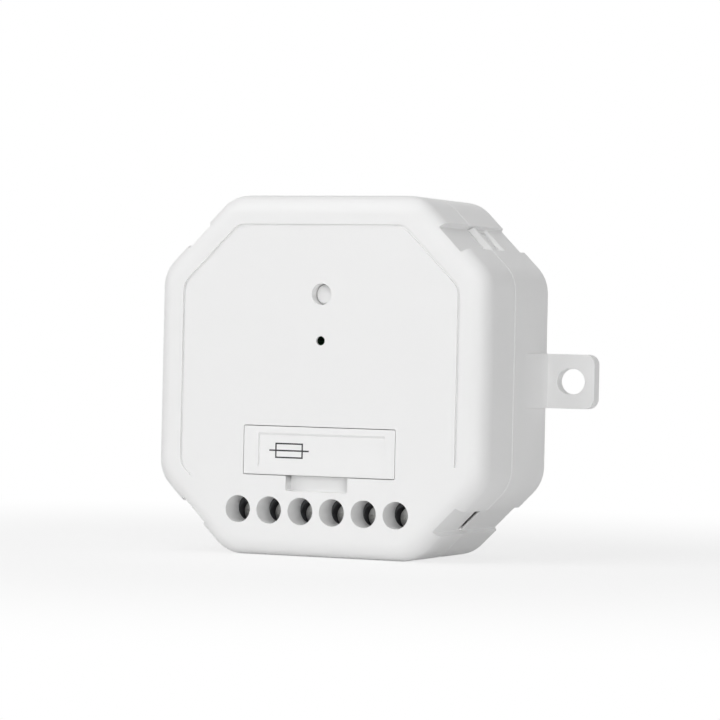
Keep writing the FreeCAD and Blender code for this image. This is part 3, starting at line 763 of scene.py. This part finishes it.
# %% Printing ink
def printing_ink(name, dark_ink, pale_ink):
    """Dull ink, between a dark and a paler place."""
    finish = Finish(name)
    blot = finish.noise(finish.place(), grains=9.0, detail=3.0)
    finish.set(
        Base_Color=finish.mix(blot, dark_ink, pale_ink),
        Roughness=0.45 + 0.2 * blot,
        Normal=finish.relief(blot, depth=0.004),
    )
    return finish.material


ink = printing_ink("printing_ink", (0.012, 0.012, 0.013, 1), (0.035, 0.035, 0.037, 1))
print("ink:", ink.name)

# %% [markdown]
# Print has a thickness of its own, about two hundredths of a millimetre. So the sign isn't drawn
# in the door's material: it is modelled as thin bars on the door's sunk panel, and it rides on
# the door's body, which takes it along when the door is pulled off.

# %% A bar of print
def add_bar(mesh, low, high):
    """A closed bar between two corners of x, y and z, with its face turned to the front."""
    corners = [mesh.verts.new((x, y, z)) for y in (low[1], high[1]) for x, z in
               ((low[0], low[2]), (high[0], low[2]), (high[0], high[2]), (low[0], high[2]))]
    front, back = corners[:4], corners[4:]
    mesh.faces.new(front)
    mesh.faces.new(back[::-1])
    for i in range(4):
        mesh.faces.new((front[i], back[i], back[(i + 1) % 4], front[(i + 1) % 4]))


print("bars can be added now")

# %% [markdown]
# The sign has two long bars, four short ones that leave room for the line, and the line itself.
# Its sizes are in millimetres, and its place is counted from the middle of the door.

# %% Printed fuse sign
SIGN_SHIFT = -4.83
SIGN_RISE = 0.02
SIGN_WIDTH = 4.2
SIGN_HEIGHT = 2.0
SIGN_LINE = 6.3
SIGN_STROKE = 0.21
INK_THICKNESS = 0.02
PANEL_DEPTH = 0.3


def fuse_sign():
    """The box and the line, on the sunk panel of the door."""
    low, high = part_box("fuse_cover")
    middle_x = (low.x + high.x) / 2 + SIGN_SHIFT * MM
    middle_z = (low.z + high.z) / 2 + SIGN_RISE * MM
    face = low.y + PANEL_DEPTH * MM
    skin = face - INK_THICKNESS * MM
    half = SIGN_STROKE / 2 * MM
    x, z, reach = SIGN_WIDTH / 2 * MM, SIGN_HEIGHT / 2 * MM, SIGN_LINE / 2 * MM
    mesh = bmesh.new()
    for side in (-1, 1):
        add_bar(mesh, (middle_x - x - half, skin, middle_z + side * z - half),
                (middle_x + x + half, face, middle_z + side * z + half))
        low_z, high_z = sorted((side * half, side * (z - half)))
        for end in (-1, 1):
            add_bar(mesh, (middle_x + end * x - half, skin, middle_z + low_z),
                    (middle_x + end * x + half, face, middle_z + high_z))
    add_bar(mesh, (middle_x - reach, skin, middle_z - half),
            (middle_x + reach, face, middle_z + half))
    sign = add_piece("fuse_sign", mesh)
    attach(sign, "fuse_door")
    return sign


printed_sign = dress(fuse_sign(), ink)
print("faces of the fuse sign:", len(printed_sign.data.polygons))

# %% [markdown]
# A white object on white paper needs a floor that does two jobs. Near the object it is lit as
# paint, so that it keeps the soft shadow. Further away it turns to plain white, where a real
# sweep of paper would rise out of focus. The camera, gloss and glass see that white, and as
# light it stays matt paint. Light Path tells the rays apart.

# %% Paper that the camera sees as white
SHADOW_REACH = (40.0, 160.0)
WHITE_RAYS = ("Is Camera Ray", "Is Glossy Ray", "Is Transmission Ray")


def white_rays(recipe):
    """1 for a ray from the camera, off gloss or through glass, and 0 for any other."""
    camera_ray, glossy_ray, clear_ray = [recipe.node("ShaderNodeLightPath", output=kind)
                                         for kind in WHITE_RAYS]
    return camera_ray + glossy_ray + clear_ray


def studio_white(name, near_share):
    """Matt paint that is seen as plain white, in part near the object and fully far away."""
    finish = Finish(name)
    paint = finish.noise(finish.place(), grains=0.02)
    finish.set(Base_Color=finish.mix(paint, grey(0.88), grey(0.9)), Roughness=0.9,
               Specular_IOR_Level=0.0)
    away = finish.node("ShaderNodeVectorMath", {"operation": "LENGTH"}, {0: finish.place()}, 1)
    white = finish.node("ShaderNodeMapRange", {"interpolation_type": "SMOOTHSTEP"},
                        {"Value": away, "From Min": SHADOW_REACH[0], "From Max": SHADOW_REACH[1],
                         "To Min": near_share, "To Max": 1.0})
    glow = finish.node("ShaderNodeEmission", None, {"Color": grey(1), "Strength": 1.0})
    blend = finish.node("ShaderNodeMixShader", None,
                        {0: white * white_rays(finish),
                         1: Flow(finish, finish.shader.outputs[0]), 2: glow})
    finish.fill(finish.tree.nodes["Material Output"].inputs["Surface"], blend)
    return finish.material


print("the shadow fades out between", SHADOW_REACH, "mm from the middle of the case's foot")

# %% [markdown]
# The floor runs back to an upright backdrop far behind the object. Each is one large sheet that
# the engineering model doesn't know. Near the object three quarters of what the camera sees of
# the floor is plain white, and the rest is lit paint.

# %% Floor and backdrop
STAGE_REACH = 3.0
BACKDROP_AWAY = 1.2
NEAR_WHITE = 0.75


def ground(name, corners, near_share):
    """A large plain sheet through four corners, in metres."""
    data = bpy.data.meshes.new(name)
    data.from_pydata(corners, [], [(0, 1, 2, 3)])
    sheet = bpy.data.objects.new(name, data)
    bpy.context.scene.collection.objects.link(sheet)
    data.materials.append(studio_white(name + "_white", near_share))
    return sheet


floor = ground("floor", [(-STAGE_REACH, -STAGE_REACH, 0), (STAGE_REACH, -STAGE_REACH, 0),
                         (STAGE_REACH, BACKDROP_AWAY, 0), (-STAGE_REACH, BACKDROP_AWAY, 0)],
               near_share=NEAR_WHITE)
backdrop = ground("backdrop", [(-STAGE_REACH, BACKDROP_AWAY, 0), (STAGE_REACH, BACKDROP_AWAY, 0),
                               (STAGE_REACH, BACKDROP_AWAY, STAGE_REACH),
                               (-STAGE_REACH, BACKDROP_AWAY, STAGE_REACH)],
                  near_share=1.0)
print("stage:", floor.name, backdrop.name)

# %% [markdown]
# The room itself is a plain world colour. To the camera, to gloss and through glass it is white,
# and as light it is dimmer, so that the lamps can shape the object.

# %% Room light
ROOM_LEVEL = 0.2


def room(level):
    """A world that is seen as white, and that lights the object at a level under 1."""
    world = bpy.data.worlds.new("studio")
    bpy.context.scene.world = world
    recipe = Recipe(world)
    strength = recipe.node("ShaderNodeMapRange", None,
                           {"Value": white_rays(recipe), "To Min": level, "To Max": 1.0})
    background = recipe.tree.nodes["Background"]
    recipe.fill(background.inputs["Color"], grey(1))
    recipe.fill(background.inputs["Strength"], strength)
    return world


print("room:", room(ROOM_LEVEL).name)

# %% [markdown]
# Soft lamps still have to turn the corners of a white case: one broad light high on the left in
# front, one low on the right that reaches into the holes, and one overhead. Area lamps are used,
# because their size sets how soft the shadow's edge is. Each has its place and size in metres
# and its power in watts, balanced by comparing the brightness of every face with a photograph.

# %% Lamps
LAMPS = {
    "high_left": ((-0.45, -0.70, 0.55), 0.7, 3.85),
    "low_right": ((0.60, -0.75, 0.06), 0.5, 4.3),
    "overhead": ((0.0, -0.1, 0.9), 0.8, 2.25),
}


def lamp(name, place, size, power):
    """A soft square lamp that faces the case."""
    data = bpy.data.lights.new(name, "AREA")
    data.size = size
    data.energy = power
    made = bpy.data.objects.new(name, data)
    made.location = place
    made.rotation_euler = (case_middle - Vector(place)).to_track_quat("-Z", "Y").to_euler()
    bpy.context.scene.collection.objects.link(made)
    return made


lamps = [lamp(name, *values) for name, values in LAMPS.items()]
print("lamps:", [made.name for made in lamps])

# %% [markdown]
# The camera stands where the photographer's stood, worked out from the straight edges of the
# front: almost half a metre away, a little above the middle of the case and 24 degrees round to
# its right, held almost level. The place is in metres, the angles in degrees, and the lens and
# the sensor in millimetres. The plain Standard view shows colours as they are written.

# %% Camera
CAMERA_PLACE = (0.19871, -0.43831, 0.03107)
CAMERA_TURN = 24.249
CAMERA_NOD = -0.293
CAMERA_TILT = 1.2642
CAMERA_LENS = 163.525
CAMERA_SENSOR = 36.0

camera_data = bpy.data.cameras.new("camera")
camera_data.lens = CAMERA_LENS
camera_data.sensor_width = CAMERA_SENSOR
camera = bpy.data.objects.new("camera", camera_data)
bpy.context.scene.collection.objects.link(camera)
turn = Matrix.Rotation(math.radians(CAMERA_TURN), 4, "Z")
nod = Matrix.Rotation(math.radians(90 + CAMERA_NOD), 4, "X")
tilt = Matrix.Rotation(math.radians(CAMERA_TILT), 4, "Z")
camera.matrix_world = Matrix.Translation(CAMERA_PLACE) @ turn @ nod @ tilt
bpy.context.scene.camera = camera
bpy.context.scene.view_settings.view_transform = "Standard"
print("camera axes:", [tuple(round(x, 4) for x in camera.matrix_world.col[i][:3])
                       for i in range(3)])
